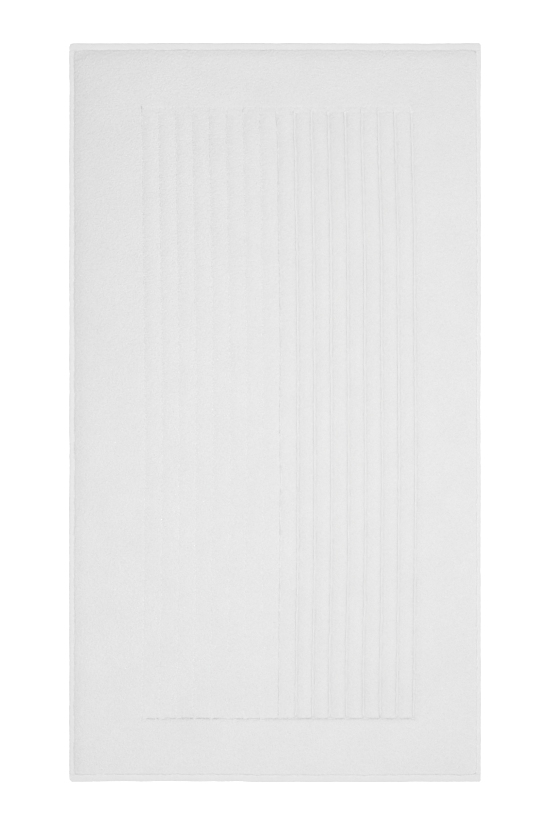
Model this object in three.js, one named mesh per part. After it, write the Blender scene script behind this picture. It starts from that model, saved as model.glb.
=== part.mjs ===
// A terry bath mat lying flat: a woven ground cloth with loop pile on both faces, a centre panel of raised
// ribs divided by bare channels, a pile border around it, and four turned and stitched edges.
//
// Millimetres, +Z up. The origin is at the middle of the mat on the floor, +Y along its length.

import * as THREE from 'three';

// Outline of the whole mat.
const MAT_WIDTH = 500;
const MAT_LENGTH = 898;

// Heights of the layers above the floor. A gap is left between layers that lie on each other.
const LAYER_GAP = 0.3;
const REVERSE_PILE_HEIGHT = 1.7;
const GROUND_THICKNESS = 0.8;
const GROUND_BOTTOM = REVERSE_PILE_HEIGHT + LAYER_GAP;
const GROUND_TOP = GROUND_BOTTOM + GROUND_THICKNESS;
const FACE_PILE_BOTTOM = GROUND_TOP + LAYER_GAP;
const FACE_PILE_TOP = 5.0;

// Turned edges: visible width on the face, and the cloth folded in them.
const END_HEM_WIDTH = 9;
const SIDE_HEM_WIDTH = 6;
const HEM_CLOTH = 0.7;
const HEM_FOLD_GAP = 0.15;

// Sewing thread along each turned edge.
const THREAD_DIAMETER = 0.5;
const THREAD_SIDES = 6;
const STITCH_INSET = 1.7;

// Centre panel: ribs lie at an even pitch, with a bare channel on each side of every rib and across its ends.
const RIB_COUNT = 16;
const RIB_PITCH = 20.5;
const CHANNEL_WIDTH = 3.2;
const PANEL_LENGTH = 743;
const PANEL_CENTRE_Y = 0.5;

// A patch of pile is pillow shaped: its edges are rounded over, above and below.
const PILE_EDGE_RISE = 0.7;
const PILE_EDGE_INSET = 1.0;
const PILE_CORNER_RADIUS = 2.5;
const CURVE_STEPS = 2;
const STEPS_ALONG_LENGTH = 6;

// The laid cloth isn't quite square: its middle has crept sideways, most at mid length and less at the ends.
const LAY_SHIFT = 6.9;
const LAY_SLOPE = -0.8;
const LAY_BOW = -3.8;

// Position across the mat of the point (x, y) of the square cloth once it is laid. The side edges stay put.
function laidX(x, y) {
  const along = y / (PANEL_LENGTH / 2);
  const towardsEdge = x / (MAT_WIDTH / 2);
  const shift = LAY_SHIFT + LAY_SLOPE * along + LAY_BOW * along ** 2;
  return x + shift * (1 - towardsEdge ** 6);
}

// Corner points of a rectangle with rounded corners, counter-clockwise, with extra points along its long sides.
function roundedRectangle(width, length, centreX, centreY, radius) {
  const points = [];
  const corners = [[1, -1], [1, 1], [-1, 1], [-1, -1]];
  corners.forEach(([sideX, sideY], index) => {
    const arcX = centreX + sideX * (width / 2 - radius);
    const arcY = centreY + sideY * (length / 2 - radius);
    const startAngle = (index - 1) * Math.PI / 2;
    for (let step = 0; step <= CURVE_STEPS; step += 1) {
      const angle = startAngle + (step / CURVE_STEPS) * Math.PI / 2;
      points.push(new THREE.Vector2(arcX + radius * Math.cos(angle), arcY + radius * Math.sin(angle)));
    }
    if (sideX === -sideY) {
      const straight = length - 2 * radius;
      for (let step = 1; step < STEPS_ALONG_LENGTH; step += 1) {
        const y = arcY - sideY * straight * (step / STEPS_ALONG_LENGTH);
        points.push(new THREE.Vector2(centreX + sideX * width / 2, y));
      }
    }
  });
  return points;
}

// The same rectangle as it lies in the laid cloth.
function laidRectangle(width, length, centreX, centreY, radius) {
  return roundedRectangle(width, length, centreX, centreY, radius)
    .map((point) => new THREE.Vector2(laidX(point.x, point.y), point.y));
}

// A patch of pile standing on the ground cloth, with an optional opening through it.
function pilePatch(outline, opening) {
  const shape = new THREE.Shape(outline);
  if (opening) shape.holes.push(new THREE.Path(opening));
  const geometry = new THREE.ExtrudeGeometry(shape, {
    depth: FACE_PILE_TOP - FACE_PILE_BOTTOM - 2 * PILE_EDGE_RISE,
    bevelEnabled: true,
    bevelThickness: PILE_EDGE_RISE,
    bevelSize: PILE_EDGE_INSET,
    bevelOffset: -PILE_EDGE_INSET,
    bevelSegments: CURVE_STEPS,
  });
  geometry.translate(0, 0, FACE_PILE_BOTTOM + PILE_EDGE_RISE);
  return geometry;
}

// Section of a double-turned hem: x from its inner edge at 0 to its outer fold, z upwards. The top layer goes
// over the outer fold into the bottom layer, which turns back at the inner edge into the raw-edged middle layer.
function hemSection(width) {
  const layer = HEM_CLOTH + HEM_FOLD_GAP;
  const top = GROUND_TOP;
  const bottom = top - 2 * layer - HEM_CLOTH;
  const foldRadius = (top - bottom) / 2;
  const foldX = width - foldRadius;
  const foldZ = (top + bottom) / 2;
  const turnRadius = (layer + HEM_CLOTH) / 2;
  const turnZ = bottom + turnRadius;
  const rawEdgeX = foldX - HEM_FOLD_GAP;
  const up = Math.PI / 2;
  const down = -Math.PI / 2;

  const section = new THREE.Shape();
  section.moveTo(0, top);
  section.lineTo(foldX, top);
  section.absarc(foldX, foldZ, foldRadius, up, down, true);
  section.lineTo(turnRadius, bottom);
  section.absarc(turnRadius, turnZ, turnRadius, down, up, true);
  section.lineTo(rawEdgeX, turnZ + turnRadius);
  section.lineTo(rawEdgeX, turnZ + turnRadius - HEM_CLOTH);
  section.absarc(turnRadius, turnZ, turnRadius - HEM_CLOTH, up, down, false);
  section.lineTo(foldX, bottom + HEM_CLOTH);
  section.absarc(foldX, foldZ, foldRadius - HEM_CLOTH, down, up, false);
  section.lineTo(0, top - HEM_CLOTH);
  section.closePath();
  return section;
}

// A straight hem of the given length, running along Y and centred on it.
function hemGeometry(width, length) {
  const geometry = new THREE.ExtrudeGeometry(hemSection(width), {
    depth: length,
    bevelEnabled: false,
    curveSegments: 8,
  });
  geometry.rotateX(Math.PI / 2);
  geometry.translate(0, length / 2, 0);
  return geometry;
}

const pileMaterial = { color: 0xe6e6e6, roughness: 1.0, metalness: 0.0 };
const groundMaterial = { color: 0xe9e9e9, roughness: 0.9, metalness: 0.0 };
const hemMaterial = { color: 0xe4e4e4, roughness: 0.9, metalness: 0.0 };
const threadMaterial = { color: 0xeeeeee, roughness: 0.6, metalness: 0.0 };

const group = new THREE.Group();

function addPiece(name, geometry, finish) {
  const mesh = new THREE.Mesh(geometry, new THREE.MeshStandardMaterial(finish));
  mesh.name = name;
  group.add(mesh);
  return mesh;
}

// Ground cloth and the short pile on its back, both reaching to the hems.
const innerWidth = MAT_WIDTH - 2 * (SIDE_HEM_WIDTH + LAYER_GAP);
const innerLength = MAT_LENGTH - 2 * (END_HEM_WIDTH + LAYER_GAP);

const groundCloth = addPiece(
  'ground_cloth',
  new THREE.BoxGeometry(innerWidth, innerLength, GROUND_THICKNESS),
  groundMaterial,
);
groundCloth.position.z = GROUND_BOTTOM + GROUND_THICKNESS / 2;

const reversePile = addPiece(
  'reverse_pile',
  new THREE.BoxGeometry(innerWidth, innerLength, REVERSE_PILE_HEIGHT),
  pileMaterial,
);
reversePile.position.z = REVERSE_PILE_HEIGHT / 2;

// Border of pile from the hems to the channel around the panel.
const panelWidth = RIB_COUNT * RIB_PITCH;
addPiece(
  'border_pile',
  pilePatch(
    roundedRectangle(innerWidth, innerLength, 0, 0, PILE_CORNER_RADIUS),
    laidRectangle(
      panelWidth + CHANNEL_WIDTH,
      PANEL_LENGTH + CHANNEL_WIDTH,
      0,
      PANEL_CENTRE_Y,
      PILE_CORNER_RADIUS,
    ),
  ),
  pileMaterial,
);

// Ribs of the centre panel, numbered from -X to +X.
for (let index = 0; index < RIB_COUNT; index += 1) {
  const centreX = (index + 0.5) * RIB_PITCH - panelWidth / 2;
  addPiece(
    `rib_${String(index + 1).padStart(2, '0')}`,
    pilePatch(laidRectangle(
      RIB_PITCH - CHANNEL_WIDTH,
      PANEL_LENGTH - CHANNEL_WIDTH,
      centreX,
      PANEL_CENTRE_Y,
      PILE_CORNER_RADIUS,
    )),
    pileMaterial,
  );
}

// Hems and their stitching. Each is made facing +X, then turned to its own edge. The end hems run the full
// width of the mat, and the side hems lie between them.
const edges = [
  { name: 'right', turn: 0, width: SIDE_HEM_WIDTH, reach: MAT_WIDTH / 2, length: innerLength },
  { name: 'top', turn: 1, width: END_HEM_WIDTH, reach: MAT_LENGTH / 2, length: MAT_WIDTH },
  { name: 'left', turn: 2, width: SIDE_HEM_WIDTH, reach: MAT_WIDTH / 2, length: innerLength },
  { name: 'bottom', turn: 3, width: END_HEM_WIDTH, reach: MAT_LENGTH / 2, length: MAT_WIDTH },
];

for (const edge of edges) {
  const angle = edge.turn * Math.PI / 2;

  const hem = addPiece(`hem_${edge.name}`, hemGeometry(edge.width, edge.length), hemMaterial);
  const innerEdge = edge.reach - edge.width;
  hem.rotation.z = angle;
  hem.position.set(innerEdge * Math.cos(angle), innerEdge * Math.sin(angle), 0);

  const threadRadius = THREAD_DIAMETER / 2;
  const threadLength = edge.length - 2 * STITCH_INSET;
  const stitch = addPiece(
    `hem_stitch_${edge.name}`,
    new THREE.CylinderGeometry(threadRadius, threadRadius, threadLength, THREAD_SIDES),
    threadMaterial,
  );
  const stitchLine = innerEdge + STITCH_INSET;
  stitch.rotation.z = angle;
  stitch.position.set(
    stitchLine * Math.cos(angle),
    stitchLine * Math.sin(angle),
    GROUND_TOP + LAYER_GAP + threadRadius,
  );
}

export default group;
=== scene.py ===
"""A white terry bath mat lying flat, seen from straight above.

The cloth is worked out in millimetres as a square piece of cloth, s across and t along, and then laid down.
laid() gives the place of each of its points, with the small creep of the real mat, and lift() its ripples and
old fold lines.
"""

import math

import bpy
import numpy as np
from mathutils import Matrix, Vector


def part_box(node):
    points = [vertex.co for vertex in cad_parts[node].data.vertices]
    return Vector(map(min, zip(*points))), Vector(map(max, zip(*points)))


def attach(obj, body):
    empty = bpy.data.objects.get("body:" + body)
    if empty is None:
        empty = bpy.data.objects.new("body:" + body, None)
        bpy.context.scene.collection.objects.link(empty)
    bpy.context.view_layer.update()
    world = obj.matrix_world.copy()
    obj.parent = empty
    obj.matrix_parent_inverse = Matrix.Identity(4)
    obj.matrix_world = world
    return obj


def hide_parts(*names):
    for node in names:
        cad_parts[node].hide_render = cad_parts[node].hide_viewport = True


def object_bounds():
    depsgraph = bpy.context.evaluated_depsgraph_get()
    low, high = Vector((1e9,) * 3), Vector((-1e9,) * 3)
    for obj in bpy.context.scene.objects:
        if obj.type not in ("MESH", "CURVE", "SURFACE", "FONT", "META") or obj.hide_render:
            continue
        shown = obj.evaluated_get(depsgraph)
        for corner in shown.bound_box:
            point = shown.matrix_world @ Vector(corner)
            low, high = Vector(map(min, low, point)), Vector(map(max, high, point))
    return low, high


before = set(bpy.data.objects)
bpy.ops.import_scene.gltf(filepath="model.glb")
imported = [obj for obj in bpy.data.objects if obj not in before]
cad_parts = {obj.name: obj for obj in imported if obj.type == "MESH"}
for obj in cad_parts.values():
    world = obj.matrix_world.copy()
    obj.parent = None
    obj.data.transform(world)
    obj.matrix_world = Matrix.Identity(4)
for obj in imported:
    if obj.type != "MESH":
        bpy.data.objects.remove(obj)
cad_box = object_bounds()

MM = 0.001
FAR = 1e3

# ---------------------------------------------------------------------------------------------------------
# Sizes in millimetres, from the frame where it has them
# ---------------------------------------------------------------------------------------------------------

RIBS = sorted(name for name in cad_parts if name.startswith("rib_"))


def box_mm(node):
    """A node's lowest and highest corners, in millimetres."""
    low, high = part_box(node)
    return np.array(low) / MM, np.array(high) / MM


ground_low, ground_high = box_mm("ground_cloth")
first_rib_low, first_rib_high = box_mm(RIBS[0])
mat_high = np.array(cad_box[1]) / MM

HALF_WIDTH = mat_high[0]
HALF_LENGTH = mat_high[1]
INNER_X = ground_high[0]
INNER_Y = ground_high[1]
GROUND_TOP = ground_high[2]
GROUND_BOTTOM = ground_low[2]
REVERSE_TOP = box_mm("reverse_pile")[1][2]
PILE_TOP = box_mm("border_pile")[1][2]

# The panel, as it is in the square cloth.
RIB_PITCH = 20.5
CHANNEL = 3.2
PANEL_X = RIB_PITCH * len(RIBS) / 2
PANEL_LOW_Y = first_rib_low[1] - CHANNEL / 2
PANEL_HIGH_Y = first_rib_high[1] + CHANNEL / 2
PANEL_LENGTH = PANEL_HIGH_Y - PANEL_LOW_Y

# How the middle of the laid cloth has crept sideways: the same curve as in the CAD model.
LAY_SHIFT = 6.9
LAY_SLOPE = -0.8
LAY_BOW = -3.8
FOLD_DEPTH = 0.22

# Pile. Its loops stand in staggered rows, and NAP_TURN is the way they lie, in radians from +X.
LOOP_PITCH = 1.6
LOOP_RISE = 0.6
NAP_TURN = 0.5
PILE_SPACING = 0.7
PILE_SEED = 100

# The sides of the pile. An upright one keeps most of its height, and a sloping one loses the share `drop`.
PILE_REACH = 1.5
PILE_RISE = PILE_TOP - GROUND_TOP - 0.7 * LOOP_RISE
UPRIGHT_REACH, UPRIGHT_DROP = 3, 0.15
SLOPING_REACH = 10
BOTTOM_REACH, BOTTOM_DROP, BOTTOM_RAMP = 7, 0.55, 1
TOP_DROP = 0.2
OPEN_DROP = 0.25
CLOSED_DROP, RUFFLED_DROP = 0.1, 0.5
CLOSED_RAMP, OPEN_RAMP = 0.1, 7
RIM_UPRIGHT_REACH, RIM_UPRIGHT_DROP, RIM_UPRIGHT_RAMP = 18, 0.4, 1.5
RIM_SLOPING_REACH, RIM_SLOPING_DROP, RIM_SLOPING_RAMP = 14, 0.6, 6

# How far the sides spread over what is beside them, and how far in from a side the spread fades out.
LEAST_SPREAD = 0.1
OVERHANG_SPREAD = 2.4
CLOSED_SPREAD, TOP_CLOSED_SPREAD = 4.5, 3.2
RIM_SPREAD, RIM_SLOPING_SPREAD = 0.9, 0.4
SPREAD_FADE = 8.5

# Turned edges and their stitches. HEM_LAYER is from one layer of folded cloth to the next.
HEM_CLOTH = 0.66
HEM_LAYER = 0.85
HEM_GAP = 0.3
STITCH_LENGTH = 3.0
STITCH_INSET = 1.7
STITCH_PUCKER = 0.15
THREAD_RADIUS = 0.22
THREAD_SIDES = 8
THREAD_TWIST = 1.6


# ---------------------------------------------------------------------------------------------------------
# Fields over the cloth
# ---------------------------------------------------------------------------------------------------------


def smooth_noise(x, y, size, seed):
    """Smooth random values from -1 to 1, with features about `size` across."""
    cells = 97
    table = np.random.default_rng(seed).uniform(-1, 1, (cells, cells))
    u, v = x / size, y / size
    column, row = np.floor(u).astype(int), np.floor(v).astype(int)
    a, b = u - column, v - row
    a, b = a * a * (3 - 2 * a), b * b * (3 - 2 * b)
    here, there = column % cells, (column + 1) % cells
    below, above = row % cells, (row + 1) % cells
    low = table[below, here] * (1 - a) + table[below, there] * a
    high = table[above, here] * (1 - a) + table[above, there] * a
    return low * (1 - b) + high * b


def laid(s, t):
    """Where the cloth's point (s, t) lies on the floor."""
    along = t / (PANEL_LENGTH / 2)
    shift = LAY_SHIFT + LAY_SLOPE * along + LAY_BOW * along**2
    inside = 1 - (s / HALF_WIDTH) ** 6
    ripple = 0.3 + 0.7 * np.clip(inside, 0, 1)
    x = s + shift * inside
    x = x + ripple * (0.7 * smooth_noise(s, t, 75, 11) + 0.3 * smooth_noise(s, t, 26, 12))
    y = t + ripple * (0.7 * smooth_noise(s, t, 90, 13) + 0.3 * smooth_noise(s, t, 24, 14))
    return x, y


def lift(s, t):
    """How far the cloth stands off the floor: slow ripples, and the lines where it was folded for sale."""
    ripples = 0.35 + 0.25 * smooth_noise(s, t, 120, 21) + 0.1 * smooth_noise(s, t, 45, 22)
    lengthwise = FOLD_DEPTH * np.exp(-np.abs(s) / 4)
    crosswise = FOLD_DEPTH * np.exp(-np.abs(t + 3) / 5)
    return np.clip(ripples - lengthwise - crosswise, 0, None)


def lay_down(points):
    """Moves points of the square cloth to where they lie."""
    s, t = points[..., 0], points[..., 1]
    x, y = laid(s, t)
    return np.stack([x, y, points[..., 2] + lift(s, t)], axis=-1)


def loops(s, t, seed):
    """The pile's loops: how far the loop on top stands up at each point, 0 to 1, and the way it leans."""
    rows, columns = 570, 340
    jitter = 0.32
    rng = np.random.default_rng(seed)
    jitter_s = rng.uniform(-jitter, jitter, (rows, columns)) * LOOP_PITCH
    jitter_t = rng.uniform(-jitter, jitter, (rows, columns)) * LOOP_PITCH
    tallness = rng.uniform(0.4, 1.0, (rows, columns))
    turn = rng.normal(0, 0.45, (rows, columns))

    nap = NAP_TURN + 0.5 * smooth_noise(s, t, 38, seed + 1) + 0.25 * smooth_noise(s, t, 14, seed + 2)
    combed = np.clip(0.75 + 0.5 * smooth_noise(s, t, 60, seed + 3) - 0.003 * s, 0.25, 1)
    long_half = LOOP_PITCH * (0.62 + 0.5 * combed)
    short_half = LOOP_PITCH * (0.62 - 0.16 * combed)

    height = np.zeros_like(s)
    lean_s = np.zeros_like(s)
    lean_t = np.zeros_like(s)
    base_row = np.floor(t / LOOP_PITCH).astype(int)
    for step_row in (-1, 0, 1):
        row = base_row + step_row
        stagger = 0.5 * (row % 2)
        base_column = np.floor(s / LOOP_PITCH - stagger).astype(int)
        for step_column in (-1, 0, 1):
            column = base_column + step_column
            key = row % rows, column % columns
            across = s - ((column + 0.5 + stagger) * LOOP_PITCH + jitter_s[key])
            along = t - ((row + 0.5) * LOOP_PITCH + jitter_t[key])
            angle = nap + turn[key]
            cos, sin = np.cos(angle), np.sin(angle)
            u = (across * cos + along * sin) / long_half
            v = (along * cos - across * sin) / short_half
            loop = tallness[key] * np.sqrt(np.clip(1 - u * u - v * v, 0, None))
            higher = loop > height
            height = np.where(higher, loop, height)
            lean_s = np.where(higher, cos * combed, lean_s)
            lean_t = np.where(higher, sin * combed, lean_t)
    return height, lean_s, lean_t


# ---------------------------------------------------------------------------------------------------------
# Meshes
# ---------------------------------------------------------------------------------------------------------


def make_mesh(name, points_mm, faces, smooth_groups=1):
    """A piece from points in millimetres and groups of faces, arrays with one face in each row.

    The first groups are smooth, and the rest, which close the piece, are flat.
    """
    counts = np.concatenate([np.full(len(group), group.shape[1]) for group in faces])
    corners = np.concatenate([group.ravel() for group in faces])
    starts = np.concatenate([[0], np.cumsum(counts)[:-1]])
    mesh = bpy.data.meshes.new(name)
    mesh.vertices.add(len(points_mm))
    mesh.vertices.foreach_set("co", (points_mm * MM).astype(np.float32).ravel())
    mesh.loops.add(len(corners))
    mesh.loops.foreach_set("vertex_index", corners.astype(np.int32))
    mesh.polygons.add(len(counts))
    mesh.polygons.foreach_set("loop_start", starts.astype(np.int32))
    mesh.polygons.foreach_set("loop_total", counts.astype(np.int32))
    smooth = np.concatenate([np.full(len(group), k < smooth_groups) for k, group in enumerate(faces)])
    mesh.polygons.foreach_set("use_smooth", smooth)
    mesh.update(calc_edges=True)
    piece = bpy.data.objects.new(name, mesh)
    bpy.context.collection.objects.link(piece)
    return piece


def edge_lines(low, high, curve, spacing):
    """Grid lines from one edge of a patch to the other, as far apart on the rounded edges as on the top."""
    inwards, _, length = curve
    steps = max(3, round(length[-1] / spacing))
    rounded = np.interp(np.linspace(0, length[-1], steps + 1), length, inwards)
    flat = high - low - 2 * inwards[-1]
    middle = np.linspace(low + inwards[-1], high - inwards[-1], max(2, round(flat / spacing)) + 1)
    return np.concatenate([low + rounded[:-1], middle, high - rounded[:-1][::-1]])


def even_lines(low, high, spacing):
    """Grid lines strictly between two edges."""
    return np.linspace(low, high, max(2, round((high - low) / spacing)) + 1)[1:-1]


def sheet_faces(filled):
    """Faces over a grid's filled cells, and the flat faces that close it underneath.

    Those run along each row of cells.
    """
    rows, columns = filled.shape
    node = np.arange((rows + 1) * (columns + 1)).reshape(rows + 1, columns + 1)
    j, i = np.nonzero(filled)
    top = np.stack([node[j, i], node[j, i + 1], node[j + 1, i + 1], node[j + 1, i]], axis=1)

    padded = np.pad(filled, 1)
    around = padded[:-1, :-1] & padded[1:, :-1] & padded[:-1, 1:] & padded[1:, 1:]
    touched = padded[:-1, :-1] | padded[1:, :-1] | padded[:-1, 1:] | padded[1:, 1:]
    rim = touched & ~around
    under = []
    for row in range(rows):
        change = np.diff(np.concatenate([[0], filled[row].astype(int), [0]]))
        for start, stop in zip(np.nonzero(change == 1)[0], np.nonzero(change == -1)[0]):
            near = [node[row, k] for k in range(start, stop + 1) if rim[row, k]]
            far = [node[row + 1, k] for k in range(stop, start - 1, -1) if rim[row + 1, k]]
            under.append(np.array([(near + far)[::-1]]))
    return top, under


def box_sides(low, high, outwards):
    """The four sides of a rectangle: the direction each faces (outwards 1 or inwards -1) and its two ends."""
    corners = ((low[0], low[1]), (high[0], low[1]), (high[0], high[1]), (low[0], high[1]))
    corners = [np.array(corner) for corner in corners]
    facings = ((0, -1), (1, 0), (0, 1), (-1, 0))
    return [
        (outwards * np.array(facing), corners[k], corners[(k + 1) % 4])
        for k, facing in enumerate(facings)
    ]


class Patch:
    """A rectangular patch with rounded corners and an optional rectangular opening, on a grid of lines.

    Its edges round down over `reach`, by `rise`. For each point of the grid it knows the distance in from the
    nearest edge, the direction out of the patch there, and the height.
    """

    def __init__(self, low, high, reach, rise, spacing, opening=None, corner=3.5, s_lines=None):
        self.low, self.high, self.opening = low, high, opening
        self.rise, self.corner = rise, corner
        angle = np.linspace(0, math.pi / 2, 60)
        inwards = reach * (1 - np.cos(angle))
        height = rise * np.sin(angle)
        length = np.concatenate([[0], np.cumsum(np.hypot(np.diff(inwards), np.diff(height)))])
        self.curve = inwards, height, length
        self._place_lines(spacing, s_lines)
        self._round_corners()
        self._measure_edges()

    def _place_lines(self, spacing, s_lines):
        lines = []
        inside = []
        for k in (0, 1):
            if self.opening is None:
                lines.append(edge_lines(self.low[k], self.high[k], self.curve, spacing))
                continue
            gap_low, gap_high = self.opening[0][k], self.opening[1][k]
            lines.append(np.concatenate([
                edge_lines(self.low[k], gap_low, self.curve, spacing),
                even_lines(gap_low, gap_high, spacing),
                edge_lines(gap_high, self.high[k], self.curve, spacing),
            ]))
            middle = (lines[k][:-1] + lines[k][1:]) / 2
            inside.append((middle > gap_low) & (middle < gap_high))
        if s_lines is not None:
            lines[0] = s_lines
        self.filled = np.ones((len(lines[1]) - 1, len(lines[0]) - 1), bool)
        if self.opening is not None:
            self.filled = ~(inside[1][:, None] & inside[0][None, :])
        self.s, self.t = np.meshgrid(*lines)

    def _round_corners(self):
        """Pulls the square corners of the grid in to arcs, and finds how far points are from the outline."""
        centre_s, centre_t = (self.low + self.high) / 2
        half_s, half_t = (self.high - self.low) / 2
        a = (np.abs(self.s - centre_s) - (half_s - self.corner)) / self.corner
        b = (np.abs(self.t - centre_t) - (half_t - self.corner)) / self.corner
        both = (a > 0) & (b > 0)
        # Maps a square corner to a round one.
        a_in = np.where(both, a * np.sqrt(np.clip(1 - b * b / 2, 0, 1)), a)
        b_in = np.where(both, b * np.sqrt(np.clip(1 - a * a / 2, 0, 1)), b)
        inset = self.corner * (1 - np.where(both, np.hypot(a_in, b_in), np.maximum(a, b)))
        self.from_outline = np.clip(inset, 0, None)
        sign_s, sign_t = np.sign(self.s - centre_s), np.sign(self.t - centre_t)
        round_s = centre_s + sign_s * (half_s - self.corner + self.corner * a_in)
        round_t = centre_t + sign_t * (half_t - self.corner + self.corner * b_in)
        self.s = np.where(both, round_s, self.s)
        self.t = np.where(both, round_t, self.t)

    def _measure_edges(self):
        """The distance in from the nearest edge, the direction out of the patch, and the height there.

        The pile leans to +X and -Y, so the sides that face there stand up, and the others slope.
        """
        self.inset = self.from_outline
        self.from_gap = np.full_like(self.s, FAR)
        if self.opening is not None:
            gap_low, gap_high = self.opening
            past_s = np.maximum(gap_low[0] - self.s, self.s - gap_high[0])
            past_t = np.maximum(gap_low[1] - self.t, self.t - gap_high[1])
            self.from_gap = np.hypot(np.clip(past_s, 0, None), np.clip(past_t, 0, None))
            self.inset = np.minimum(self.from_outline, self.from_gap)
        along_t = np.gradient(self.inset, axis=0) / np.maximum(np.gradient(self.t, axis=0), 1e-6)
        along_s = np.gradient(self.inset, axis=1) / np.maximum(np.gradient(self.s, axis=1), 1e-6)
        size = np.maximum(np.hypot(along_t, along_s), 1e-6)
        self.out_s, self.out_t = -along_s / size, -along_t / size
        self.sloping = np.clip(np.maximum(-self.out_s, self.out_t), 0, 1)
        self.height = np.interp(self.inset, self.curve[0], self.curve[1])
        self.opened = np.zeros_like(self.s)

    def far_from(self, start, end):
        """How far each point is from a straight side."""
        along = end - start
        share = ((self.s - start[0]) * along[0] + (self.t - start[1]) * along[1]) / (along @ along)
        share = np.clip(share, 0, 1)
        return np.hypot(self.s - start[0] - share * along[0], self.t - start[1] - share * along[1])

    def surface_place(self):
        """The grid's own lengths over the rounded edges, so that loops keep their size there."""
        inwards, _, length = self.curve
        extra = length - inwards
        extra = extra - extra[-1]
        grown = np.interp(self.inset, inwards, extra)
        return self.s - self.out_s * grown, self.t - self.out_t * grown


def normals_of(points):
    """Unit normals of a grid of points, upwards."""
    normal = np.cross(np.gradient(points, axis=1), np.gradient(points, axis=0))
    return normal / np.maximum(np.linalg.norm(normal, axis=2, keepdims=True), 1e-9)


def patch_mesh(name, patch, points, tone=None, flipped=False):
    """Closes a patch's grid of points underneath and makes it a piece, with its pile's tone, its painted
    light and shade, kept on it.
    """
    top, under = sheet_faces(patch.filled)
    used = np.unique(top)
    place = np.full(patch.s.size, -1)
    place[used] = np.arange(len(used))
    faces = [place[group][:, ::-1] if flipped else place[group] for group in [top, *under]]
    piece = make_mesh(name, points.reshape(-1, 3)[used], faces)
    if tone is not None:
        attribute = piece.data.attributes.new("pile_painted_shading", "FLOAT", "POINT")
        attribute.data.foreach_set("value", tone.ravel()[used].astype(np.float32))
    return piece


def nap_lean(s):
    """How far the pile leans over, to +X and less to -Y, for its height. It leans most on the mat's left."""
    return 0.4 - 0.1 * np.clip(s / PANEL_X, -1, 1)


def ruffled(s, t):
    """How far the pile is ruffled, 0 to 1: most at the mat's upper left, least at its lower right."""
    return np.clip(0.45 - 0.0018 * s + 0.0012 * t, 0, 1)


def left_border_darkening(s, t):
    """How much darker the pile is, 0 to 1: only in the left border, and more towards its top."""
    return np.clip((-s - 150) / 100, 0, 1) * np.clip(0.6 + t / 350, 0, 1)


def pile_points(patch, base, seed, spread, painted_foot_shading=0):
    """The surface of a patch of loop pile on `base`, before it is laid down, and its tone at each point:
    painted light and shade, paler at the loops' tips and darker between them.

    `spread` is how far its sides reach out, and the last argument how much paler (painted light) or darker
    (painted shade) they are at their foot.
    """
    corner_reach = np.maximum(np.maximum(np.abs(patch.out_s), np.abs(patch.out_t)), 0.7)
    spread = spread / corner_reach * np.clip(1 - patch.inset / SPREAD_FADE, 0, 1)
    place_s, place_t = patch.surface_place()
    loop, lean_s, lean_t = loops(place_s + patch.out_s * spread, place_t + patch.out_t * spread, seed)
    s, t = patch.s, patch.t
    uneven = 0.14 * smooth_noise(s, t, 40, seed + 5) + 0.06 * smooth_noise(s, t, 11, seed + 6)
    stray = 0.35 * smooth_noise(s, t, 8, seed + 7) + 0.3 * smooth_noise(s, t, 3.4, seed + 8)
    stray = stray + 0.3 * smooth_noise(s, t, 1.7, seed + 9)

    side = spread + 0.3 * np.sin(np.clip(patch.height / patch.rise, 0, 1) * math.pi)
    side = side + stray * np.exp(-patch.inset / 2.5)
    height = patch.height * (1 + uneven / patch.rise)
    lean = nap_lean(s) * height
    points = np.stack([
        s + patch.out_s * side + lean,
        t + patch.out_t * side - 0.7 * lean,
        base + height,
    ], axis=-1)
    normal = normals_of(points)
    rooted = np.clip(patch.inset / (0.5 + 5 * patch.opened), 0, 1)
    rough = 1 + 0.8 * patch.opened + 0.3 * ruffled(s, t)
    points += normal * (LOOP_RISE * rough * loop * rooted)[..., None]
    points[..., 0] += lean_s * loop * 0.45 * rooted
    points[..., 1] += lean_t * loop * 0.45 * rooted
    points[..., 2] = np.maximum(points[..., 2], base)
    # Painted light (paler) and painted shade (darker) at the foot of the sides.
    foot = painted_foot_shading * np.exp(-patch.inset / 1.5)
    # Painted shade where the pile opens up at its sides, for the shade among its roots, and darker towards
    # the upper left and in the left border.
    painted_shade_and_darkening = 2.4 * patch.opened + 0.5 * ruffled(s, t) + left_border_darkening(s, t)
    # The tone is painted light and shade: pale at the loops' tips and dark between them.
    return points, loop * rooted + foot - painted_shade_and_darkening


# ---------------------------------------------------------------------------------------------------------
# Materials
# ---------------------------------------------------------------------------------------------------------


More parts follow.
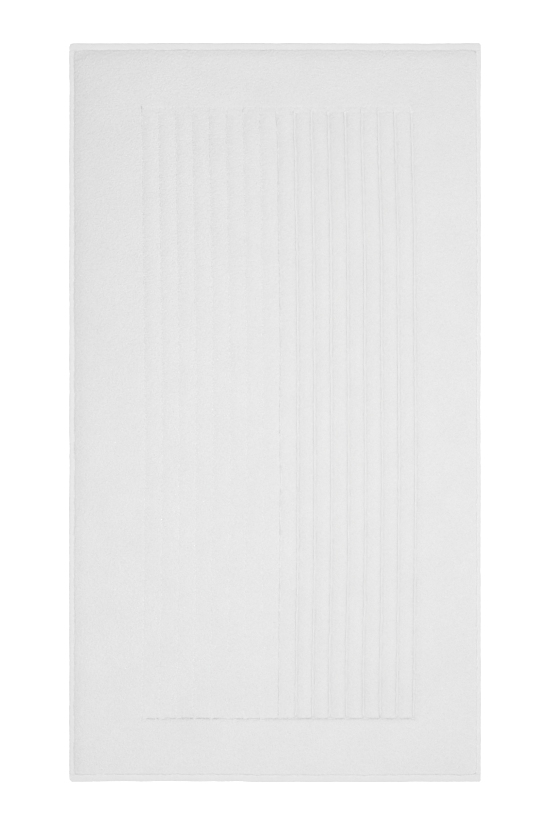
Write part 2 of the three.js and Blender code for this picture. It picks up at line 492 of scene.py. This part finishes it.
class Cotton:
    """A white cotton material, built up from a few nodes."""

    def __init__(self, name, roughness, sheen):
        self.material = bpy.data.materials.new(name)
        self.material.use_nodes = True
        self.nodes = self.material.node_tree.nodes
        self.links = self.material.node_tree.links
        self.shader = self.nodes["Principled BSDF"]
        self.shader.inputs["Roughness"].default_value = roughness
        self.shader.inputs["Specular IOR Level"].default_value = 0.25
        self.shader.inputs["Sheen Weight"].default_value = sheen
        self.shader.inputs["Sheen Roughness"].default_value = 0.6
        self.place = self.nodes.new("ShaderNodeTexCoord").outputs["Object"]

    def math(self, operation, *values):
        """A number worked out from other numbers."""
        node = self.nodes.new("ShaderNodeMath")
        node.operation = operation
        for socket, value in zip(node.inputs, values):
            if isinstance(value, (int, float)):
                socket.default_value = value
            else:
                self.links.new(value, socket)
        return node.outputs[0]

    def noise(self, size_mm, detail=3, turn=0, stretch=1):
        """Noise with features of a size, from about -0.3 to 0.3, drawn out along a turned direction."""
        mapping = self.nodes.new("ShaderNodeMapping")
        mapping.vector_type = "TEXTURE"
        mapping.inputs["Rotation"].default_value = (0, 0, turn)
        mapping.inputs["Scale"].default_value = (stretch, 1, 1)
        self.links.new(self.place, mapping.inputs["Vector"])
        texture = self.nodes.new("ShaderNodeTexNoise")
        texture.inputs["Scale"].default_value = 1 / (size_mm * MM)
        texture.inputs["Detail"].default_value = detail
        self.links.new(mapping.outputs["Vector"], texture.inputs["Vector"])
        return self.math("SUBTRACT", texture.outputs["Fac"], 0.5)

    def weave(self, pitch_mm):
        """A plain weave: the ups and downs of crossing yarns, -1 to 1."""
        parts = self.nodes.new("ShaderNodeSeparateXYZ")
        self.links.new(self.place, parts.inputs[0])
        waves = []
        for axis in ("X", "Y"):
            phase = self.math("MULTIPLY", parts.outputs[axis], math.pi / (pitch_mm * MM))
            waves.append(self.math("SINE", phase))
        return self.math("MULTIPLY", *waves)

    def attribute(self, name):
        """A number kept on the piece's points."""
        node = self.nodes.new("ShaderNodeAttribute")
        node.attribute_name = name
        return node.outputs["Fac"]

    def shade(self, level, *parts):
        """Sets the colour to a grey level plus parts, each a socket and how much it counts."""
        total = self.sum(level, *parts)
        colour = self.nodes.new("ShaderNodeCombineColor")
        for channel in ("Red", "Green", "Blue"):
            self.links.new(total, colour.inputs[channel])
        self.links.new(colour.outputs["Color"], self.shader.inputs["Base Color"])

    def sum(self, total, *parts):
        """A number plus parts, each a socket and how much it counts."""
        for socket, amount in parts:
            total = self.math("MULTIPLY_ADD", socket, amount, total)
        return total

    def bump(self, *parts):
        """Sets the fine relief: parts are sockets and their height in millimetres."""
        node = self.nodes.new("ShaderNodeBump")
        node.inputs["Distance"].default_value = MM
        self.links.new(self.sum(0.0, *parts), node.inputs["Height"])
        self.links.new(node.outputs["Normal"], self.shader.inputs["Normal"])


def make_terry(name, level):
    """Loop pile: paler where its tone of painted light and shade is higher, as at the loops' tips, and darker
    between them, with streaks of combed yarn.
    """
    cotton = Cotton(name, roughness=1.0, sheen=0.15)
    yarn = cotton.noise(0.8, turn=NAP_TURN, stretch=1.8)
    cloud = cotton.noise(45, detail=2)
    tone = cotton.attribute("pile_painted_shading")
    cotton.shade(level, (yarn, 0.17), (cloud, 0.045), (tone, 0.04))
    cotton.bump((yarn, 0.42))
    return cotton.material


def make_woven(name, level, pitch_mm, relief_mm):
    """Flat woven cotton: the yarns' crossings, slubs in them, and slow clouds."""
    cotton = Cotton(name, roughness=0.92, sheen=0.05)
    weave = cotton.weave(pitch_mm)
    slub = cotton.noise(1.4, stretch=3)
    cloud = cotton.noise(30, detail=2)
    cotton.shade(level, (weave, 0.012), (slub, 0.05), (cloud, 0.03))
    cotton.bump((weave, relief_mm), (slub, 0.12))
    cotton.links.new(cotton.sum(0.92, (slub, 0.15)), cotton.shader.inputs["Roughness"])
    return cotton.material


def make_thread(name, level):
    """Sewing thread: fine fibres along it."""
    cotton = Cotton(name, roughness=0.6, sheen=0.05)
    fibre = cotton.noise(0.25, stretch=3)
    cotton.shade(level, (fibre, 0.08))
    return cotton.material


terry = make_terry("terry", 0.895)
ground_weave = make_woven("ground_weave", 0.86, pitch_mm=0.8, relief_mm=0.06)
hem_weave = make_woven("hem_weave", 0.912, pitch_mm=0.6, relief_mm=0.045)
sewing_thread = make_thread("sewing_thread", 0.93)


def finish_piece(piece, material, slot, *nodes):
    """Gives a piece its material, and its place in the frame."""
    piece.data.materials.append(material)
    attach(piece, "root")
    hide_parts(*nodes)
    return piece


# ---------------------------------------------------------------------------------------------------------
# Pile and ground cloth
# ---------------------------------------------------------------------------------------------------------


def slope(distance, reach, drop):
    """How full the pile's height is at a distance from a side, where it has lost the share `drop`."""
    return 1 - drop * (1 - np.sin(np.clip(distance / reach, 0, 1) * math.pi / 2))


def foot(distance, reach):
    """Turns the upright foot of a patch's side into a ramp."""
    return np.sqrt(np.clip(distance / reach, 0, 1))


def closed(s, t):
    """How far the pile closes over the channels, 0 to 1: on the left of the panel and at its top end."""
    ends = [t < PANEL_LOW_Y, t > PANEL_HIGH_Y - 6]
    return np.select(ends, [0, 1], np.clip((15 - s) / 20, 0, 1))


def shape_channels(patch, sides):
    """Shapes the sides that face a channel."""
    s, t = patch.s, patch.t
    ends = [t < PANEL_LOW_Y, t > PANEL_HIGH_Y - 8]
    open_share = 1 - closed(s, t)
    between = np.maximum(CLOSED_DROP + RUFFLED_DROP * ruffled(s, t) ** 2, OPEN_DROP * open_share)
    drop = np.select(ends, [BOTTOM_DROP, TOP_DROP], between)
    reach = np.where(ends[0], BOTTOM_REACH, SLOPING_REACH)
    ramp = np.where(ends[0], BOTTOM_RAMP, CLOSED_RAMP + OPEN_RAMP * open_share)
    for facing, start, end in sides:
        distance = patch.far_from(start, end)
        if facing[0] > 0:
            patch.height *= slope(distance, UPRIGHT_REACH, UPRIGHT_DROP)
            continue
        if facing[1] < 0:
            continue
        full = slope(distance, reach, drop)
        patch.height *= full * foot(distance, ramp)
        patch.opened = np.maximum(patch.opened, 1 - full)


def shape_rim(patch):
    """Thins the pile towards the hems, most on the left and at the top."""
    for facing, start, end in box_sides(patch.low, patch.high, 1):
        distance = patch.far_from(start, end)
        if facing[0] > 0 or facing[1] < 0:
            full = slope(distance, RIM_UPRIGHT_REACH, RIM_UPRIGHT_DROP)
            patch.height *= full * foot(distance, RIM_UPRIGHT_RAMP)
            continue
        full = slope(distance, RIM_SLOPING_REACH, RIM_SLOPING_DROP)
        patch.height *= full * foot(distance, RIM_SLOPING_RAMP)
        patch.opened = np.maximum(patch.opened, 0.4 * (1 - full))


def overhang(patch):
    """1 on the sides that face down the mat, which hang over the channel below them, and 0 elsewhere."""
    return np.clip(-patch.out_t, 0, 1)


def channel_spread(patch):
    """How far the pile spreads into a channel: most where it hangs over it or its sloping sides close it."""
    under = np.where(patch.t > PANEL_HIGH_Y - 6, TOP_CLOSED_SPREAD, CLOSED_SPREAD)
    hanging = LEAST_SPREAD + OVERHANG_SPREAD * overhang(patch)
    return hanging + under * patch.sloping * closed(patch.s, patch.t)


def channel_painted_shading(patch):
    """How pale the pile is at the foot of its sides, in painted light and shade: paler at a sloping one, and
    darker at an upright one, with painted shade in the crease there.
    """
    open_share = 1 - closed(patch.s, patch.t)
    upright = (1 - patch.sloping) * (1 - overhang(patch))
    in_panel = patch.t > PANEL_LOW_Y
    return patch.sloping * (1 + 0.8 * open_share * in_panel) - 1.2 * upright * open_share


def make_rib(index):
    centre = (index + 0.5) * RIB_PITCH - PANEL_X
    half = (RIB_PITCH - CHANNEL) / 2
    low = np.array([centre - half, PANEL_LOW_Y + CHANNEL / 2])
    high = np.array([centre + half, PANEL_HIGH_Y - CHANNEL / 2])
    patch = Patch(low, high, PILE_REACH, PILE_RISE, PILE_SPACING, corner=2)
    shape_channels(patch, box_sides(low, high, 1))
    points, tone = pile_points(patch, GROUND_TOP, PILE_SEED, channel_spread(patch), channel_painted_shading(patch))
    piece = patch_mesh(f"{RIBS[index]}_pile", patch, lay_down(points), tone)
    return finish_piece(piece, terry, "terry_pile", RIBS[index])


def make_border():
    low = np.array([-INNER_X, -INNER_Y])
    gap_low = np.array([-PANEL_X - CHANNEL / 2, PANEL_LOW_Y - CHANNEL / 2])
    gap_high = np.array([PANEL_X + CHANNEL / 2, PANEL_HIGH_Y + CHANNEL / 2])
    gap = gap_low, gap_high
    patch = Patch(low, -low, PILE_REACH, PILE_RISE, PILE_SPACING, opening=gap, corner=6)
    shape_channels(patch, box_sides(gap_low, gap_high, -1))
    shape_rim(patch)
    # The pile is thin across the mat's upper left corner.
    patch.height *= np.clip((patch.s + INNER_X) / 14 + (INNER_Y - patch.t) / 9 - 0.8, 0.1, 1)
    at_rim = patch.from_outline < patch.from_gap
    rim_spread = RIM_SPREAD + RIM_SLOPING_SPREAD * patch.sloping
    # Painted light at the foot of the pile beside the hems, most along the top, to lighten the shade there.
    rim_painted_light = 1 + 1.4 * np.clip(patch.out_t, 0, 1)
    spread = np.where(at_rim, rim_spread, channel_spread(patch))
    painted_foot_shading = np.where(at_rim, rim_painted_light, channel_painted_shading(patch))
    points, tone = pile_points(patch, GROUND_TOP, PILE_SEED, spread, painted_foot_shading)
    piece = patch_mesh("border_loops", patch, lay_down(points), tone)
    return finish_piece(piece, terry, "terry_pile", "border_pile")


def make_reverse():
    """The short loops on the back, hanging down from the ground cloth."""
    low = np.array([-INNER_X, -INNER_Y])
    patch = Patch(low, -low, 1.2, REVERSE_TOP - 0.7 * LOOP_RISE, 2.4 * PILE_SPACING)
    points, tone = pile_points(patch, 0, 300, 0.3)
    height_off_floor = REVERSE_TOP + lift(points[..., 0], points[..., 1]) - points[..., 2]
    points = lay_down(points)
    points[..., 2] = np.maximum(height_off_floor, 0)
    piece = patch_mesh("reverse_loops", patch, points, tone, flipped=True)
    return finish_piece(piece, terry, "reverse_terry", "reverse_pile")


def make_ground():
    """The ground cloth. Its grid is fine in the channels, the only places where it shows."""
    low = np.array([-INNER_X, -INNER_Y])
    channels = np.arange(len(RIBS) + 1) * RIB_PITCH - PANEL_X
    shown = (channels[:, None] + np.linspace(-2.4, 2.4, 8)).ravel()
    between = channels[:-1] + RIB_PITCH / 2
    border = np.linspace(PANEL_X + 8, INNER_X - 4, 10)
    rim = INNER_X - np.array([0, 0.1, 0.3])
    s_lines = np.sort(np.concatenate([shown, between, border, -border, rim, -rim]))
    thickness = GROUND_TOP - GROUND_BOTTOM
    patch = Patch(low, -low, 0.3, thickness, 1.4 * PILE_SPACING, corner=1, s_lines=s_lines)
    uneven = 0.1 * smooth_noise(patch.s, patch.t, 2.6, 401) + 0.1 * smooth_noise(patch.s, patch.t, 9, 402)
    points = np.stack([patch.s, patch.t, GROUND_BOTTOM + patch.height + uneven], axis=-1)
    piece = patch_mesh("ground_weave_cloth", patch, lay_down(points))
    return finish_piece(piece, ground_weave, "ground_weave", "ground_cloth")


# ---------------------------------------------------------------------------------------------------------
# Hems and their stitching
# ---------------------------------------------------------------------------------------------------------


def arc(centre, radius, start, end, steps):
    angle = np.linspace(start, end, steps + 1)
    return np.stack([centre[0] + radius * np.cos(angle), centre[1] + radius * np.sin(angle)], axis=1)


def straight(start, end, step):
    count = max(1, round(math.dist(start, end) / step))
    return np.linspace(start, end, count + 1)


def hem_path(width):
    """The middle of a hem's cloth, folded twice, seen from its end: out from its inner edge, and up.

    Its first step is short, so that the shading turns sharply at the inner edge.
    """
    top = GROUND_TOP - HEM_CLOTH / 2
    middle = top - HEM_LAYER
    bottom = top - 2 * HEM_LAYER
    fold = width - HEM_LAYER - HEM_CLOTH / 2
    turn = (HEM_LAYER + HEM_CLOTH) / 2
    up, down = math.pi / 2, -math.pi / 2
    return np.concatenate([
        [(0, top)],
        straight((0.06, top), (fold, top), 0.7)[:-1],
        arc((fold, middle), HEM_LAYER, up, down, 8)[:-1],
        straight((fold, bottom), (turn, bottom), 1.2)[:-1],
        arc((turn, bottom + HEM_LAYER / 2), HEM_LAYER / 2, down, -math.pi - up, 6)[:-1],
        straight((turn, middle), (fold - 0.2, middle), 1.5),
    ])


def strip_outline(path, thickness):
    """Both faces of a strip of cloth that follows a path."""
    tangent = np.gradient(path, axis=0)
    tangent /= np.linalg.norm(tangent, axis=1, keepdims=True)
    normal = np.stack([-tangent[:, 1], tangent[:, 0]], axis=1)
    return path + normal * thickness / 2, path - normal * thickness / 2


def swept_faces(rings, around):
    """Quads of a closed tube of rings."""
    ring, point = np.meshgrid(np.arange(rings - 1), np.arange(around), indexing="ij")
    after = (point + 1) % around
    corners = [ring * around + point, (ring + 1) * around + point]
    corners += [(ring + 1) * around + after, ring * around + after]
    return np.stack([corner.ravel() for corner in corners], axis=1)


def hem_relief(along, out, width, seed):
    """How a hem's upper face swells and dips: a pucker along the stitches, and unevenness."""
    pucker = STITCH_PUCKER * np.exp(-(((out - STITCH_INSET) / 0.6) ** 2))
    pucker = pucker * (0.7 + 0.3 * np.cos(2 * math.pi * along / STITCH_LENGTH))
    swell = 0.08 * np.sin(np.clip((out - STITCH_INSET) / (width - STITCH_INSET), 0, 1) * math.pi)
    uneven = 0.12 * smooth_noise(along, out, 9, seed) + 0.06 * smooth_noise(along, out, 2.8, seed + 1)
    return swell - pucker + uneven


class Edge:
    """One turned edge of the mat. `turn` counts quarter turns from the edge facing +X.

    `corners` are the radii that its two ends are drawn in by, and `outwards` how far its fold bulges out.
    """

    def __init__(self, name, turn, reach, width, half_length, corners, outwards, seed):
        self.name, self.turn, self.reach, self.width, self.outwards = name, turn, reach, width, outwards
        self.half_length, self.corners, self.seed = half_length, corners, seed

    def place(self, along, out, up):
        """Points at a distance along the edge, out from the hem's inner edge, and up, once laid down."""
        cos, sin = round(math.cos(self.turn * math.pi / 2)), round(math.sin(self.turn * math.pi / 2))
        far = self.reach - self.width + out
        return lay_down(np.stack([far * cos - along * sin, far * sin + along * cos, up], axis=-1))

    def shaped(self, along, out):
        """Where the hem's outer fold really runs: a little unsteady, and drawn in at the mat's corners."""
        unsteady = 0.2 * smooth_noise(along, along * 0, 22, self.seed + 2)
        unsteady = unsteady + 0.12 * smooth_noise(along, along * 0, 6, self.seed + 3)
        drawn_in = np.zeros_like(along)
        for sign, radius in zip((-1, 1), self.corners):
            past = np.clip(sign * along - (self.half_length - radius), 0, radius)
            drawn_in = drawn_in + radius - np.sqrt(radius**2 - past**2)
        return out + out / self.width * (self.outwards + unsteady - np.minimum(drawn_in, 0.6 * self.width))


def make_hem(edge):
    """The folded cloth along one edge, swept from end to end."""
    upper, lower = strip_outline(hem_path(edge.width), HEM_CLOTH)
    outline = np.concatenate([upper, lower[::-1]])
    rings = round(2 * edge.half_length / PILE_SPACING)
    stations = np.linspace(-edge.half_length, edge.half_length, rings)
    along, out = np.meshgrid(stations, outline[:, 0], indexing="ij")
    up = np.broadcast_to(outline[:, 1], along.shape)
    share = np.clip((up - GROUND_TOP + 2 * HEM_LAYER) / (2 * HEM_LAYER), 0, 1)
    up = up + share * hem_relief(along, out, edge.width, edge.seed)
    points = edge.place(along, edge.shaped(along, out), up).reshape(-1, 3)

    around = len(outline)
    count = len(upper)
    first = np.arange(count - 1)
    cap = np.stack([first, first + 1, around - 2 - first, around - 1 - first], axis=1)
    last = cap[:, ::-1] + (rings - 1) * around
    sides = swept_faces(rings, around)
    piece = make_mesh(f"hem_cloth_{edge.name}", points, [sides, cap[:, ::-1], last[:, ::-1]])
    return finish_piece(piece, hem_weave, "hem_weave", f"hem_{edge.name}")


def thread_path(edge, face):
    """A lockstitch thread: along the hem's upper (1) or lower (-1) face, and down into each needle hole."""
    holes = int(2 * (edge.half_length - STITCH_INSET) // STITCH_LENGTH)
    fractions = np.array([0, 0.07, 0.2, 0.5, 0.8, 0.93])
    heights = np.array([-0.75, -0.3, 0.1, 0.2, 0.1, -0.3])
    start = -holes * STITCH_LENGTH / 2
    along = (start + (np.arange(holes)[:, None] + fractions) * STITCH_LENGTH).ravel()
    height = np.tile(heights, holes)
    if face > 0:
        up = GROUND_TOP + hem_relief(along, STITCH_INSET + along * 0, edge.width, edge.seed) + height
    else:
        up = GROUND_TOP - 2 * HEM_LAYER - HEM_CLOTH - height
    return along, up


def thread_tube(edge, face):
    """Points of one thread, two-ply and twisted, and its number of rings, before it is closed at its ends."""
    along, up = thread_path(edge, face)
    run, rise = np.gradient(along), np.gradient(up)
    size = np.hypot(run, rise)
    run, rise = run / size, rise / size
    angle = np.arange(THREAD_SIDES) * 2 * math.pi / THREAD_SIDES
    twist = 2 * math.pi * along[:, None] / THREAD_TWIST
    radius = THREAD_RADIUS * (0.88 + 0.12 * np.cos(2 * (angle[None, :] - twist)))
    across = radius * np.cos(angle)
    upright = radius * np.sin(angle)
    wander = 0.12 * smooth_noise(along, along * 0, 7, edge.seed + 9)[:, None]
    out = STITCH_INSET + wander + across
    run, rise = run[:, None], rise[:, None]
    points = edge.place(along[:, None] - rise * upright, out, up[:, None] + run * upright)
    return points.reshape(-1, 3), len(along)


def make_stitching(edge):
    """The upper and lower threads along one hem."""
    points, quads, ends = [], [], []
    for face in (1, -1):
        offset = sum(len(group) for group in points)
        tube, rings = thread_tube(edge, face)
        ring = np.arange(THREAD_SIDES)[None, :]
        points.append(tube)
        quads.append(swept_faces(rings, THREAD_SIDES) + offset)
        ends.append(ring[:, ::-1] + offset)
        ends.append(ring + (rings - 1) * THREAD_SIDES + offset)
    faces = [*quads, *ends]
    piece = make_mesh(f"stitches_{edge.name}", np.concatenate(points), faces, smooth_groups=len(quads))
    return finish_piece(piece, sewing_thread, "sewing_thread", f"hem_stitch_{edge.name}")


END_HEM = HALF_LENGTH - INNER_Y - HEM_GAP
SIDE_HEM = HALF_WIDTH - INNER_X - HEM_GAP
SIDE_HALF = INNER_Y + 0.25
SQUARE = (0.01, 0.01)
EDGES = [
    Edge("right", 0, HALF_WIDTH, SIDE_HEM, SIDE_HALF, SQUARE, 0.38, seed=500),
    Edge("top", 1, HALF_LENGTH, END_HEM, HALF_WIDTH, (2.2, 4.5), 0.25, seed=520),
    Edge("left", 2, HALF_WIDTH, SIDE_HEM, SIDE_HALF, SQUARE, 0.38, seed=540),
    Edge("bottom", 3, HALF_LENGTH, END_HEM, HALF_WIDTH, (3.5, 1.0), 0.25, seed=560),
]

ribs = [make_rib(index) for index in range(len(RIBS))]
border = make_border()
reverse = make_reverse()
ground = make_ground()
hems = [make_hem(edge) for edge in EDGES]
stitching = [make_stitching(edge) for edge in EDGES]

# ---------------------------------------------------------------------------------------------------------
# Floor, light and camera
# ---------------------------------------------------------------------------------------------------------

scene = bpy.context.scene
scene.view_settings.view_transform = "Standard"

world = bpy.data.worlds.new("studio")
scene.world = world
world.use_nodes = True
world.node_tree.nodes["Background"].inputs["Color"].default_value = (1, 1, 1, 1)
world.node_tree.nodes["Background"].inputs["Strength"].default_value = 0.31


def make_floor():
    half = 20
    corners = [(-half, -half, 0), (half, -half, 0), (half, half, 0), (-half, half, 0)]
    mesh = bpy.data.meshes.new("floor")
    mesh.from_pydata(corners, [], [(0, 1, 2, 3)])
    floor = bpy.data.objects.new("floor", mesh)
    bpy.context.collection.objects.link(floor)
    material = bpy.data.materials.new("pale_floor")
    material.use_nodes = True
    shader = material.node_tree.nodes["Principled BSDF"]
    shader.inputs["Base Color"].default_value = (0.95, 0.95, 0.95, 1)
    shader.inputs["Roughness"].default_value = 0.8
    shader.inputs["Emission Color"].default_value = (1, 1, 1, 1)
    shader.inputs["Emission Strength"].default_value = 0.3
    mesh.materials.append(material)


def add_area_light(name, place, size, power):
    """A round soft light that points at the mat's middle."""
    data = bpy.data.lights.new(name, "AREA")
    data.shape = "DISK"
    data.size = size
    data.energy = power
    light = bpy.data.objects.new(name, data)
    light.location = place
    across = math.hypot(place[0], place[1])
    tilt, turn = math.atan2(across, place[2]), math.atan2(place[1], place[0]) + math.pi / 2
    light.rotation_euler = (tilt, 0, turn)
    bpy.context.collection.objects.link(light)


def add_camera():
    """Straight above the mat. The photograph's height covers a little more than a metre of floor."""
    view_height = 1.0041
    data = bpy.data.cameras.new("camera")
    data.lens = 100
    data.clip_end = 50
    camera = bpy.data.objects.new("camera", data)
    half_angle = math.atan(data.sensor_width / 2 / data.lens)
    camera.location = (0.0004, -0.0005, PILE_TOP * MM + view_height / 2 / math.tan(half_angle))
    bpy.context.collection.objects.link(camera)
    scene.camera = camera


make_floor()
add_area_light("key", (6.9, -6.5, 12.8), 6, 350)
add_area_light("overhead", (0.04, 0.02, 1.75), 0.9, 16)
add_camera()
